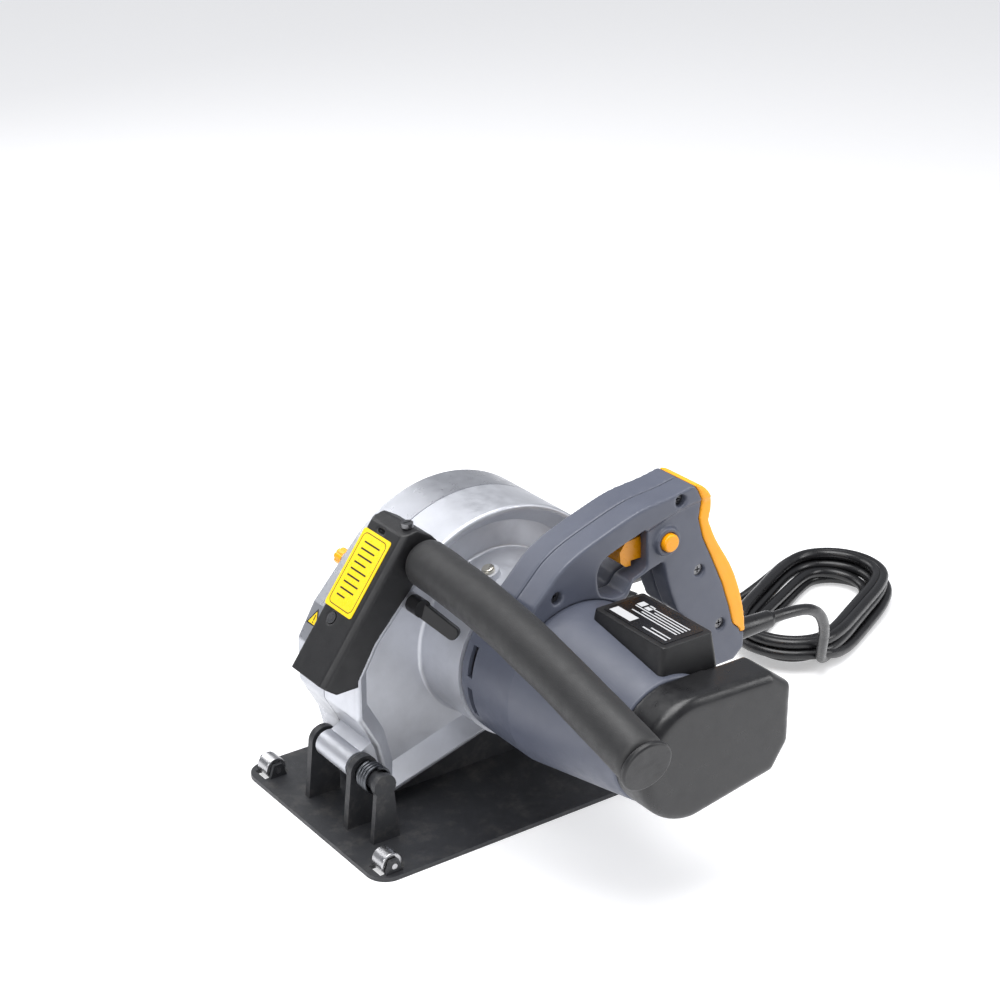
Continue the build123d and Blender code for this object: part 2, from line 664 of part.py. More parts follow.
# ---- D handle ----
ARCH_TOP = [(34, 163), (15, 181.5), (-19, 197.5), (-52, 207.5), (-85, 212)]
GRIP_REAR = [(-85, 212), (-94, 212.5), (-103, 206), (-107, 197), (-105.5, 187), (-109, 176)]
GRIP_REAR_LOW = [(-109, 176), (-125, 149), (-136, 122), (-140.5, 99)]
PAD_BOUNDARY = [
    (-88, 216),
    (-94, 209),
    (-98.5, 199),
    (-97, 188),
    (-101, 174),
    (-109, 158),
    (-119, 137),
    (-126, 118),
    (-130, 104),
    (-136, 99),
]
WINDOW = [
    (-15, 172),
    (-17, 178),
    (-22, 182),
    (-36, 187),
    (-52, 192),
    (-54.5, 190),
    (-55.5, 166),
    (-52, 163),
    (-42, 159.5),
    (-36.5, 152.5),
    (-27, 152.5),
    (-18, 156.5),
    (-15.5, 163),
]
SECOND_OPENING = [
    (-38, 149),
    (-45, 157.5),
    (-57, 162),
    (-69, 165.5),
    (-72, 153),
    (-76, 141),
    (-82, 127),
    (-94, 115),
    (-106, 106),
    (-108, 99),
    (-50, 98),
    (-30, 110),
    (-30, 140),
]


def handle_body(y0, y1):
    """Solid of the whole D handle between two planes."""
    with BuildSketch(at_y(y0)) as outline:
        with BuildLine():
            Spline(*ARCH_TOP, tangents=[(-0.75, 0.66), (-1, 0.22)])
            Spline(*GRIP_REAR, tangents=[(-1, 0.22), (-0.45, -1)])
            Spline(*GRIP_REAR_LOW, tangents=[(-0.45, -1), (-0.1, -1)])
            Polyline((-140.5, 99), (-140, 84), (-132, 77), (-46, 74), (0, 110), (42, 137), (34, 163))
        make_face()
        for hole in (WINDOW, SECOND_OPENING):
            with BuildSketch(mode=Mode.PRIVATE) as opening:
                with BuildLine():
                    Polyline(*hole, close=True)
                make_face()
                fillet(opening.vertices(), 1.6)
            add(opening.sketch, mode=Mode.SUBTRACT)
    extrude(outline.sketch, amount=y0 - y1)


def pad_region(y0, y1, mode):
    """Everything behind the line where the soft grip begins."""
    prism(PAD_BOUNDARY + [(-136, 96), (-175, 96), (-175, 235), (-90, 235)], y0, y1, mode)


GRIP_CAVITY = [
    (-61, 169),
    (-61, 187),
    (-86, 196),
    (-92, 185),
    (-97, 170),
    (-111, 140),
    (-119, 118),
    (-124, 96),
    (-118, 84),
    (-104, 84),
    (-98, 120),
    (-86, 128),
    (-80, 141),
    (-76, 155),
    (-73, 168),
]
ARCH_CAVITY = [(26, 160), (12, 173), (-18, 186), (-40, 193), (-40, 191), (-17, 184), (-8, 172), (-6, 162)]


def hollow_handle(y0, y1):
    """Cavities and screw posts of one half of the handle."""
    for cavity in (GRIP_CAVITY, ARCH_CAVITY):
        prism(cavity, y0, y1, Mode.SUBTRACT)
    for x, z in HANDLE_SCREW_POINTS:
        rod(x, z, 4.8, y0, y1)
    rod(0, AXIS_Z, MOTOR_RADIUS + 0.1, HANDLE_FAR_Y - 1, HANDLE_NEAR_Y + 1, Mode.SUBTRACT)


def recess_grip_side(y0, y1):
    """The grip's side stands lower than the arch, so a thin slice comes off it."""
    below_arch = [(-54.5, 191), (-80, 199), (-98, 201), (-180, 201), (-180, 60), (-40, 60), (-40, 150)]
    prism(below_arch, y0, y1, Mode.SUBTRACT)


with BuildPart() as handle_near:
    handle_body(HANDLE_SEAM_Y, HANDLE_NEAR_Y)
    recess_grip_side(HANDLE_NEAR_Y - 2, HANDLE_NEAR_Y)
    pad_region(HANDLE_SEAM_Y, HANDLE_NEAR_Y, Mode.SUBTRACT)
    hollow_handle(HANDLE_SEAM_Y, HANDLE_NEAR_Y - 5.5)
    rod(-70, 180, 9.5, HANDLE_NEAR_Y - 5.5, HANDLE_NEAR_Y + 1.5)
    rod(-70, 180, 6.3, HANDLE_SEAM_Y, HANDLE_NEAR_Y + 1.5, Mode.SUBTRACT)
    block(-64, -50, HANDLE_SEAM_Y, 70.4, 168, 186, Mode.SUBTRACT)
    for x, z in HANDLE_SCREW_POINTS:
        rod(x, z, 4.1, 73, HANDLE_NEAR_Y, Mode.SUBTRACT)
        rod(x, z, 2.2, HANDLE_SEAM_Y, HANDLE_NEAR_Y, Mode.SUBTRACT)
    with Locations(Location((-143, HANDLE_SEAM_Y, 87), (0, 90, 0))):
        Cylinder(6, 60, mode=Mode.SUBTRACT)
finish_node(handle_near, "handle_near")

with BuildPart() as handle_far:
    handle_body(HANDLE_FAR_Y, HANDLE_SEAM_Y)
    recess_grip_side(HANDLE_FAR_Y, HANDLE_FAR_Y + 2)
    pad_region(HANDLE_FAR_Y, HANDLE_SEAM_Y, Mode.SUBTRACT)
    hollow_handle(HANDLE_FAR_Y + 5.5, HANDLE_SEAM_Y)
    block(-64, -50, 52.6, HANDLE_SEAM_Y, 168, 186, Mode.SUBTRACT)
    for x, z in HANDLE_SCREW_POINTS:
        rod(x, z, SCREW_RADIUS + 0.05, 46.5, HANDLE_SEAM_Y, Mode.SUBTRACT)
    with Locations(Location((-143, HANDLE_SEAM_Y, 87), (0, 90, 0))):
        Cylinder(6, 60, mode=Mode.SUBTRACT)
finish_node(handle_far, "handle_far")

with BuildPart() as soft_grip:
    handle_body(HANDLE_FAR_Y, HANDLE_NEAR_Y)
    recess_grip_side(HANDLE_NEAR_Y - 1.6, HANDLE_NEAR_Y)
    recess_grip_side(HANDLE_FAR_Y, HANDLE_FAR_Y + 1.6)
    pad_region(HANDLE_FAR_Y, HANDLE_NEAR_Y, Mode.INTERSECT)
finish_node(soft_grip, "soft_grip")

with BuildPart() as handle_screws:
    for x, z in HANDLE_SCREW_POINTS:
        rod(x, z, SCREW_RADIUS, 47, 73.2)
        rod(x, z, 3.8, 73.1, 75.5)
        with BuildSketch(at_y(75.5)) as cross:
            with Locations((x, z)):
                Rectangle(4.2, 0.9)
                Rectangle(0.9, 4.2)
        extrude(cross.sketch, amount=1.4, mode=Mode.SUBTRACT)
finish_node(handle_screws, "handle_screws")

TRIGGER_OUTLINE = [
    (-62.5, 184.5),
    (-44, 182.5),
    (-39.5, 176.5),
    (-40.5, 169),
    (-44.5, 165.5),
    (-48.5, 165.5),
    (-48.5, 169),
    (-62.5, 169),
]
with BuildPart() as trigger:
    prism(TRIGGER_OUTLINE, 53, 70)
    fillet(trigger.edges().filter_by(Axis.Y).sort_by(Axis.X)[-4:], 1.5)
finish_node(trigger, "trigger")

with BuildPart() as switch_module:
    block(-88, -70, 50.5, 71, 170, 189)
    block(-88, -78, 56, 66, 160, 170)
finish_node(switch_module, "switch_module")

with BuildPart() as lock_button:
    rod(-70, 180, 6, 75.5, 84.5)
    fillet(lock_button.faces().sort_by(Axis.Y)[-1].edges(), 1.5)
finish_node(lock_button, "lock_button")

# ---- front bracket, label, bar and foam ----
BRACKET_SPAN = (-36.5, 3.0)
BAR_STUD_RADIUS = 4.6
BAR_X = 63.5
BAR_Z = 174.5
BRACKET_SCREW_AT = 66.0
LABEL_DIRECTION = Vector(139 - 77, 0, 107 - 193).normalized()
LABEL_NORMAL = Vector(-LABEL_DIRECTION.Z, 0, LABEL_DIRECTION.X)
LABEL_TOP = Vector(77, 0, 193)


def label_plane(distance):
    """Plane on the bracket's slanted face; own x runs along +Y, own y up the slope."""
    origin = LABEL_TOP + LABEL_DIRECTION * distance + Vector(0, -19.5, 0)
    return Plane(origin=origin, x_dir=(0, -1, 0), z_dir=LABEL_NORMAL)


with BuildPart() as front_bracket:
    prism(
        [(66, 195), (77, 193), (139, 107), (128, 99), (100, 100), (60, 150), (48, 165), (48, 180), (56, 189)],
        *BRACKET_SPAN,
    )
    slope_edges = front_bracket.edges().filter_by(lambda e: abs(e.length - 106) < 1)
    chamfer(slope_edges, 3)
    guard_slab(FAR_Y, 10, mode=Mode.SUBTRACT)
    rod(BAR_X, BAR_Z, BAR_STUD_RADIUS + RUNNING_GAP, -24, 4, Mode.SUBTRACT)
    with BuildSketch(label_plane(BRACKET_SCREW_AT)) as screw_hole:
        with Locations((2.5, 0)):
            Circle(2.1)
    extrude(screw_hole.sketch, amount=-12, mode=Mode.SUBTRACT)
    with BuildSketch(label_plane(BRACKET_SCREW_AT)) as screw_recess:
        with Locations((2.5, 0)):
            Circle(4.3)
    extrude(screw_recess.sketch, amount=-1.6, mode=Mode.SUBTRACT)
    with BuildSketch(label_plane(3.6)) as clip_slot:
        Rectangle(8, 2.6)
    extrude(clip_slot.sketch, amount=-3, mode=Mode.SUBTRACT)
finish_node(front_bracket, "front_bracket")

with BuildPart() as warning_label:
    with BuildSketch(label_plane(33.5)):
        RectangleRounded(30.5, 54, 2)
    extrude(amount=0.4)
finish_node(warning_label, "warning_label")

with BuildPart() as bracket_screws:
    with BuildSketch(label_plane(BRACKET_SCREW_AT)) as shank:
        with Locations((2.5, 0)):
            Circle(2)
    extrude(shank.sketch, amount=-11.5)
    with BuildSketch(label_plane(BRACKET_SCREW_AT)) as head:
        with Locations((2.5, 0)):
            Circle(3.9)
            Rectangle(4.4, 0.9, mode=Mode.SUBTRACT)
            Rectangle(0.9, 4.4, mode=Mode.SUBTRACT)
    extrude(head.sketch, amount=-1.5)
    with Locations((68.5, -6, 196.55)):
        Cylinder(4, 3)
    with Locations((68.5, -6, 198.05)):
        Box(5, 1, 1.6, mode=Mode.SUBTRACT)
finish_node(bracket_screws, "bracket_screws")

BAR_ROUTE = [(BAR_X, 3.2, BAR_Z), (64.5, 60, 173), (67.5, 140, 162), (71, 232, 141)]
with BuildPart() as handle_bar:
    with BuildLine() as bar_path:
        FilletPolyline(*BAR_ROUTE, radius=300)
    with BuildSketch(Plane(origin=bar_path.line @ 0, z_dir=bar_path.line % 0)):
        Circle(BAR_RADIUS)
        Circle(BAR_RADIUS - 2, mode=Mode.SUBTRACT)
    sweep()
    rod(BAR_X, BAR_Z, BAR_STUD_RADIUS, -23, 9)
    rod(BAR_X, BAR_Z, BAR_RADIUS - 1, 3.6, 7)
finish_node(handle_bar, "handle_bar")

with BuildPart() as foam_sleeve:
    with BuildLine() as sleeve_path:
        FilletPolyline((BAR_X, 3.7, BAR_Z), *BAR_ROUTE[1:], radius=300)
    with BuildSketch(Plane(origin=sleeve_path.line @ 0, z_dir=sleeve_path.line % 0)):
        Circle(FOAM_RADIUS)
        Circle(BAR_RADIUS + 0.6, mode=Mode.SUBTRACT)
    sweep()
    fillet(foam_sleeve.edges().filter_by(lambda e: 94 < e.length < 100), 4)
finish_node(foam_sleeve, "foam_sleeve")

with BuildPart() as bar_plug:
    end_plane = Plane(origin=bar_path.line @ 1, z_dir=bar_path.line % 1)
    with BuildSketch(end_plane):
        Circle(FOAM_RADIUS + 1)
    extrude(amount=4)
    fillet(bar_plug.edges().filter_by(GeomType.CIRCLE), 1.5)
    with BuildSketch(end_plane) as stem:
        Circle(BAR_RADIUS - 2.1)
    extrude(stem.sketch, amount=-14)
finish_node(bar_plug, "bar_plug")

# ---- clamp: lever, cross bolt and knob ----
with BuildPart() as cross_bolt:
    rod(CLAMP_X, CLAMP_Z, 3, -80, 12)
finish_node(cross_bolt, "cross_bolt")

LEVER_ARM = Vector(-15.6, 25, -17.5).normalized()
LEVER_FACE = (Vector(0.739, 0.629, 0.242)).normalized()
with BuildPart() as clamp_lever:
    with BuildSketch(Plane(origin=(CLAMP_X, 8, CLAMP_Z), x_dir=LEVER_ARM, z_dir=LEVER_FACE)) as arm:
        with BuildLine():
            Polyline((-3, -5), (-3, 5), (32, 4.4), (32, -4.4), close=True)
        make_face()
        fillet(arm.vertices(), 4)
    extrude(arm.sketch, amount=3, both=True)
    fillet(clamp_lever.edges(), 1)
    rod(CLAMP_X, CLAMP_Z, 6, 3.4, 14)
    rod(CLAMP_X, CLAMP_Z, 3.05, 3.4, 12.2, Mode.SUBTRACT)
finish_node(clamp_lever, "clamp_lever")

with BuildPart() as clamp_knob:
    rod(CLAMP_X, CLAMP_Z, 5.8, -82, -74)
    with BuildSketch(at_y(-85)) as grips:
        with Locations((CLAMP_X, CLAMP_Z)):
            with PolarLocations(6.4, 8):
                Circle(1.2)
    extrude(grips.sketch, amount=-12, mode=Mode.SUBTRACT)
    rod(CLAMP_X, CLAMP_Z, 3.05, -80.2, -74, Mode.SUBTRACT)
finish_node(clamp_knob, "clamp_knob")

# ---- cord ----
with BuildPart() as strain_relief:
    with BuildSketch(Plane(origin=(-140.8, HANDLE_SEAM_Y, 87), z_dir=(-1, 0, 0))):
        Circle(7.5)
    with BuildSketch(Plane(origin=(-177, HANDLE_SEAM_Y, 87), z_dir=(-1, 0, 0))):
        Circle(6.2)
    loft()
    with Locations(Location((-178, HANDLE_SEAM_Y, 87), (0, 90, 0))):
        Cylinder(5.2, 2)
    with Locations(Location((-132, HANDLE_SEAM_Y, 87), (0, 90, 0))):
        Cylinder(5.9, 18)
finish_node(strain_relief, "strain_relief")

CORD_ROUTE = [
    (-179, 61.5, 87),
    (-204, 61.5, 87),
    (-226, 58, 78),
    (-243, 49, 57),
    (-255, 35, 31),
    (-268, 21, 10),
    (-292, 8, 5.5),
]
# The rest of the cord is an oblong hank on the floor: two straight sides and two round ends.
HANK_CENTRE = (-318, -42)
HANK_ANGLE = -154.0  # direction of its long axis, from +X
HANK_HALF_RUN = 45.0
HANK_END_RADIUS = 34.0
HANK_BAND = 28.0
HANK_HEIGHT = 20.0


def tube_radii(points):
    """Largest bend for each corner of a route."""
    radii = []
    for before, corner, after in zip(points, points[1:], points[2:]):
        inward = Vector(*corner) - Vector(*before)
        outward = Vector(*after) - Vector(*corner)
        half_turn = radians(inward.get_angle(outward)) / 2
        radii.append(0.45 * min(inward.length, outward.length) / tan(half_turn))
    return radii


cord_radii = tube_radii(CORD_ROUTE)
print("cord bend radii", [round(radius, 1) for radius in cord_radii])
with BuildPart() as cord_lead:
    with BuildLine() as cord_path:
        FilletPolyline(*CORD_ROUTE, radius=cord_radii)
    with BuildSketch(Plane(origin=cord_path.line @ 0, z_dir=cord_path.line % 0)):
        Circle(CORD_RADIUS)
    sweep()
print("cord lead length", round(cord_path.wire().length, 1), "volume", round(cord_lead.part.volume))
print("section times length", round(pi * CORD_RADIUS**2 * cord_path.wire().length))

hank_plane = Plane(origin=(*HANK_CENTRE, 1.0), x_dir=Vector(1, 0, 0).rotate(Axis.Z, HANK_ANGLE))


def stadium(radius):
    """Slot around the hank's centre whose round ends have this radius."""
    return SlotOverall(2 * (HANK_HALF_RUN + radius), 2 * radius)


with BuildPart() as cord_hank:
    with BuildSketch(hank_plane):
        stadium(HANK_END_RADIUS + HANK_BAND / 2)
    extrude(amount=HANK_HEIGHT)
    with BuildSketch(hank_plane) as hollow:
        stadium(HANK_END_RADIUS - HANK_BAND / 2)
    extrude(hollow.sketch, amount=HANK_HEIGHT, mode=Mode.SUBTRACT)
    fillet(cord_hank.faces().filter_by(Axis.Z).edges(), 5)
finish_node(cord_hank, "cord_hank")

# the end of the cord leaves the hank's far side, runs behind the tool and ends in the plug
TAIL_ROUTE = [
    (-341.3, -96.8, 8),
    (-311.8, -89, 7),
    (-278.2, -89.3, 6),
    (-247, -107.6, 9),
    (-222.8, -134.6, 9),
]
PLUG_LENGTH = 40.0
tail_radii = tube_radii(TAIL_ROUTE)
print("tail bend radii", [round(radius, 1) for radius in tail_radii])
with BuildPart() as cord_tail:
    with BuildLine() as tail_path:
        FilletPolyline(*TAIL_ROUTE, radius=tail_radii)
    with BuildSketch(Plane(origin=tail_path.line @ 0, z_dir=tail_path.line % 0)):
        Circle(CORD_RADIUS)
    sweep()
print("cord tail length", round(tail_path.wire().length, 1), "volume", round(cord_tail.part.volume))

with BuildPart() as cord_runs:
    add(cord_lead.part)
    add(cord_tail.part)
finish_node(cord_runs, "cord_runs")

PLUG_DIRECTION = (Vector(*TAIL_ROUTE[-1]) - Vector(*TAIL_ROUTE[-2])).normalized()


def plug_plane(distance):
    """Plane across the plug, at a distance past the end of the cord."""
    origin = Vector(*TAIL_ROUTE[-1]) + PLUG_DIRECTION * distance
    return Plane(origin=origin, x_dir=PLUG_DIRECTION.cross(Vector(0, 0, 1)), z_dir=PLUG_DIRECTION)


with BuildPart() as plug:
    with BuildSketch(plug_plane(0)):
        Circle(6)
    with BuildSketch(plug_plane(16)):
        RectangleRounded(24, 16, 6)
    loft()
    with BuildSketch(plug_plane(16)) as body_section:
        RectangleRounded(24, 16, 6)
    extrude(body_section.sketch, amount=PLUG_LENGTH - 16)
    fillet(plug.faces().sort_by(Axis((0, 0, 0), PLUG_DIRECTION))[-1].edges(), 2)
finish_node(plug, "plug")

with BuildPart() as plug_pins:
    with BuildSketch(plug_plane(PLUG_LENGTH)) as pins:
        with GridLocations(19, 1, 2, 1):
            Circle(2.4)
    extrude(pins.sketch, amount=19)
finish_node(plug_pins, "plug_pins")
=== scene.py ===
"""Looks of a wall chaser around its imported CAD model. Metres; +X forward, +Y to the motor's tail, +Z up."""

import math

import bmesh
import bpy
from mathutils import Matrix, Vector, noise


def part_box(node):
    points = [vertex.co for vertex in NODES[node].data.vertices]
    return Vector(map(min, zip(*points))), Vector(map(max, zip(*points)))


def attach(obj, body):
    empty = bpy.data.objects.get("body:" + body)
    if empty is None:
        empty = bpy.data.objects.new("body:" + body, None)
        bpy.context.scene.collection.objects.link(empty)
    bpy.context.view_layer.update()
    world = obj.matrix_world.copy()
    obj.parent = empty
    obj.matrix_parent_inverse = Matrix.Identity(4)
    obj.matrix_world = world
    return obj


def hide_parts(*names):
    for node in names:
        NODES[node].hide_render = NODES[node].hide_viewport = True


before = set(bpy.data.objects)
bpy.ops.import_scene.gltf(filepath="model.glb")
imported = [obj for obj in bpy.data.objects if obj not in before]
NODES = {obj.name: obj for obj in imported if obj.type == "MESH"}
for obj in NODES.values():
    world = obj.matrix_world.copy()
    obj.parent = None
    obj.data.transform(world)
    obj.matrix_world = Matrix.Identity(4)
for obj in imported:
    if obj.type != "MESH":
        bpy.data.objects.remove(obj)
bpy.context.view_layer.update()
HEAD = "power_head"


# ---- camera ----
def make_camera():
    """Camera at the photograph's viewing angle."""
    data = bpy.data.cameras.new("camera")
    data.lens = 79.2
    data.sensor_width = 36
    data.clip_end = 20
    camera = bpy.data.objects.new("camera", data)
    bpy.context.scene.collection.objects.link(camera)
    forward = Vector((-0.5323, -0.7455, -0.4011)).normalized()
    right = forward.cross(Vector((0, 0, 1))).normalized()
    up = right.cross(forward)
    turn = Matrix((right, up, -forward)).transposed().to_4x4()
    camera.matrix_world = Matrix.Translation((0.7425, 1.0370, 0.7562)) @ turn
    bpy.context.scene.camera = camera


make_camera()


# ---- materials ----
def linear(red, green, blue):
    """Shader colour of an sRGB colour given from 0 to 255."""
    values = []
    for level in (red, green, blue):
        share = level / 255
        values.append(share / 12.92 if share <= 0.04045 else ((share + 0.055) / 1.055) ** 2.4)
    return (*values, 1.0)


class Shader:
    """Node tree of one material, with the few nodes that the surfaces here use."""

    def __init__(self, name):
        self.material = bpy.data.materials.new(name)
        self.material.use_nodes = True
        self.tree = self.material.node_tree
        self.tree.nodes.clear()
        self.out = self.add("ShaderNodeOutputMaterial")
        self.bsdf = self.add("ShaderNodeBsdfPrincipled")
        self.link(self.bsdf.outputs[0], self.out.inputs[0])
        self.place = self.add("ShaderNodeTexCoord").outputs["Object"]

    def add(self, kind, **settings):
        node = self.tree.nodes.new(kind)
        for key, value in settings.items():
            setattr(node, key, value)
        return node

    def link(self, source, target):
        self.tree.links.new(source, target)

    def stretched(self, scale):
        mapping = self.add("ShaderNodeMapping")
        mapping.inputs["Scale"].default_value = scale
        self.link(self.place, mapping.inputs["Vector"])
        return mapping.outputs[0]

    def noise(self, scale, detail=4.0, rough=0.6, stretch=None):
        node = self.add("ShaderNodeTexNoise")
        node.inputs["Scale"].default_value = scale
        node.inputs["Detail"].default_value = detail
        node.inputs["Roughness"].default_value = rough
        self.link(self.stretched(stretch) if stretch else self.place, node.inputs["Vector"])
        return node.outputs["Fac"]

    def cells(self, scale):
        node = self.add("ShaderNodeTexVoronoi")
        node.inputs["Scale"].default_value = scale
        self.link(self.place, node.inputs["Vector"])
        return node.outputs["Distance"]

    def spread(self, source, low, high, start=0.3, end=0.7):
        node = self.add("ShaderNodeMapRange")
        for number, value in zip((1, 2, 3, 4), (start, end, low, high)):
            node.inputs[number].default_value = value
        self.link(source, node.inputs[0])
        return node.outputs[0]

    def mix(self, factor, first, second):
        node = self.add("ShaderNodeMix", data_type="RGBA")
        for socket, value in ((6, first), (7, second)):
            if isinstance(value, tuple):
                node.inputs[socket].default_value = value
            else:
                self.link(value, node.inputs[socket])
        self.link(factor, node.inputs[0])
        return node.outputs[2]

    def bump(self, height, distance, strength=1.0, before=None):
        node = self.add("ShaderNodeBump")
        node.inputs["Distance"].default_value = distance
        node.inputs["Strength"].default_value = strength
        self.link(height, node.inputs["Height"])
        if before:
            self.link(before, node.inputs["Normal"])
        return node.outputs[0]


def shade(colour, factor):
    """Colour made lighter or darker."""
    return (*(min(1.0, level * factor) for level in colour[:3]), 1.0)


ROUGHNESS_SWING = 0.09


def surface(name, colour, rough, metal=0.0, grain=1500.0, depth=0.00006, variation=0.12, sheen=0.0,
            brushed=None, specular=0.5, coat=0.0, pits=0.0, dust=None):
    """Moulded, cast, painted or turned surface with grain, uneven tone and uneven gloss."""
    shader = Shader(name)
    tone = shader.spread(shader.noise(45.0, 5.0), 0.0, 1.0)
    tint = shader.mix(tone, shade(colour, 1 - variation), shade(colour, 1 + variation))
    if dust:
        patch = shader.spread(shader.noise(70.0, 8.0, 0.75), 0.0, 0.35, 0.5, 0.8)
        tint = shader.mix(patch, tint, dust)
    shader.link(tint, shader.bsdf.inputs["Base Color"])
    fine = shader.noise(grain, 3.0, 0.7, brushed)
    gloss = shader.noise(130.0, 6.0)
    uneven = shader.spread(gloss, max(0.02, rough - ROUGHNESS_SWING), min(1.0, rough + ROUGHNESS_SWING))
    shader.link(uneven, shader.bsdf.inputs["Roughness"])
    normal = shader.bump(fine, depth)
    if pits:
        normal = shader.bump(shader.cells(pits), depth * 1.6, 0.8, normal)
    shader.link(normal, shader.bsdf.inputs["Normal"])
    shader.bsdf.inputs["Metallic"].default_value = metal
    shader.bsdf.inputs["Specular IOR Level"].default_value = specular
    shader.bsdf.inputs["Sheen Weight"].default_value = sheen
    shader.bsdf.inputs["Coat Weight"].default_value = coat
    return shader.material


SILVER = linear(176, 178, 184)
SLATE = linear(80, 84, 97)
BLACK = linear(20, 20, 22)
ORANGE = linear(252, 166, 0)
YELLOW = linear(238, 202, 26)
STEEL = linear(180, 180, 182)

LOOK = {
    "guard": surface("guard_satin_silver", SILVER, 0.33, 0.85, 2600.0, 0.00003, 0.05),
    "casting": surface("casting_silver", linear(196, 198, 204), 0.42, 0.75, 1500.0, 0.00007, 0.06),
    "slate": surface("slate_plastic", SLATE, 0.40, 0.0, 2300.0, 0.00004, 0.05, specular=0.55),
    "black": surface("black_plastic", BLACK, 0.45, 0.0, 1900.0, 0.00006, 0.1),
    "cap": surface("end_cap_plastic", linear(18, 18, 20), 0.34, 0.0, 1900.0, 0.00003, 0.08, specular=0.55),
    "orange": surface("orange_soft_plastic", ORANGE, 0.42, 0.0, 1700.0, 0.00005, 0.04, sheen=0.05),
    "orange_gloss": surface("orange_moulded", linear(254, 164, 2), 0.28, 0.0, 1700.0, 0.00002, 0.05),
    "sole": surface(
        "sole_powder_coat", linear(44, 45, 48), 0.48, 0.1, 1400.0, 0.0001, 0.1, dust=linear(120, 116, 110)
    ),
    "steel": surface("turned_steel", STEEL, 0.28, 1.0, 900.0, 0.00003, 0.06, brushed=(1, 14, 1)),
    "zinc": surface("zinc_screws", linear(196, 192, 180), 0.30, 1.0, 1800.0, 0.00002, 0.08),
    "spring": surface("spring_wire", linear(92, 94, 98), 0.34, 1.0, 1500.0, 0.00002, 0.08),
    "disc": surface(
        "disc_core", linear(150, 152, 156), 0.36, 1.0, 700.0, 0.00003, 0.1, brushed=(9, 9, 9),
        dust=linear(128, 110, 96),
    ),
    "lamination": surface(
        "stacked_sheet", linear(96, 98, 104), 0.5, 0.9, 900.0, 0.0001, 0.1, brushed=(0.2, 9, 0.2)
    ),
    "copper": surface(
        "enamelled_copper", linear(176, 96, 52), 0.35, 0.8, 900.0, 0.0003, 0.15, brushed=(0.3, 4, 4)
    ),
    "dark_screw": surface("dark_screws", linear(118, 118, 120), 0.30, 1.0, 1800.0, 0.00002, 0.08),
    "brass": surface("brass", linear(205, 178, 110), 0.3, 1.0, 1500.0, 0.00002, 0.06),
    "carbon": surface("carbon_blocks", linear(38, 38, 40), 0.6, 0.0, 1500.0, 0.00006, 0.1),
    "foam": surface("foam_skin", linear(31, 31, 32), 0.52, 0.0, 1500.0, 0.00010, 0.10, sheen=0.03),
    "cord": surface("cord_jacket", linear(20, 20, 22), 0.30, 0.0, 1300.0, 0.00004, 0.12),
    "plate": surface("rating_foil", linear(22, 22, 24), 0.25, 0.0, 2500.0, 0.00001, 0.05),
    "print_white": surface("print_white", linear(190, 191, 193), 0.4, 0.0, 2500.0, 0.00001, 0.04),
    "label": surface("label_yellow", YELLOW, 0.3, 0.0, 2500.0, 0.00001, 0.04),
    "print_black": surface("print_black", linear(22, 20, 16), 0.4, 0.0, 2500.0, 0.00001, 0.04),
}

NODE_LOOKS = {
    "guard": ["guard_cover"],
    "casting": ["gear_case", "bearing_plate"],
    "slate": ["motor_housing"],
    "black": ["dust_port", "electronics_box", "switch_module", "bar_plug", "clamp_lever", "cooling_fan"],
    "sole": ["shoe"],
    "steel": [
        "roller_front_far", "roller_front_near", "roller_rear_far", "roller_rear_near", "roller_pins",
        "pivot_pin", "spindle", "disc_spacers", "outer_flange", "spindle_gear", "motor_pinion", "motor_shaft",
        "handle_bar", "cross_bolt", "spindle_bearings", "armature_bearings",
    ],
    "zinc": ["cover_screws", "spindle_nut", "case_screws", "spindle_lock"],
    "dark_screw": ["handle_screws", "bracket_screws"],
    "spring": ["return_spring", "pivot_circlips"],
    "disc": ["disc_near", "disc_far"],
    "lamination": ["armature_core", "field_core"],
    "copper": ["armature_windings", "field_coils", "commutator"],
    "brass": ["brush_holders", "plug_pins"],
    "carbon": ["carbon_brushes"],
    "orange_gloss": ["trigger", "lock_button", "clamp_knob"],
    "plate": ["rating_plate"],
    "label": ["warning_label"],
    "cord": ["plug"],
}
for look, names in NODE_LOOKS.items():
    for name in names:
        NODES[name].data.materials.clear()
        NODES[name].data.materials.append(LOOK[look])


# ---- pieces ----
def register(mesh, name, look, body):
    """Object of a mesh that rides on a body."""
    piece = bpy.data.objects.new(name, mesh)
    bpy.context.scene.collection.objects.link(piece)
    mesh.materials.clear()
    mesh.materials.append(LOOK[look])
    for face in mesh.polygons:
        face.use_smooth = True
    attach(piece, body)
    return piece


def applied(piece):
    """Mesh of a piece with its modifiers worked in."""
    graph = bpy.context.evaluated_depsgraph_get()
    return bpy.data.meshes.new_from_object(piece.evaluated_get(graph))


def moulded(node, look, voxel, rounds):
    """Moulding with rounded edges that stands for a CAD node: the node's form, remeshed and eased."""
    piece = bpy.data.objects.new("work", NODES[node].data.copy())
    bpy.context.scene.collection.objects.link(piece)
    remesh = piece.modifiers.new("remesh", "REMESH")
    remesh.mode = "VOXEL"
    remesh.voxel_size = voxel
    ease = piece.modifiers.new("ease", "SMOOTH")
    ease.factor = 0.5
    ease.iterations = rounds
    mesh = applied(piece)
    bpy.data.objects.remove(piece)
    moulding = register(mesh, node + "_moulding", look, HEAD)
    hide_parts(node)
    return moulding


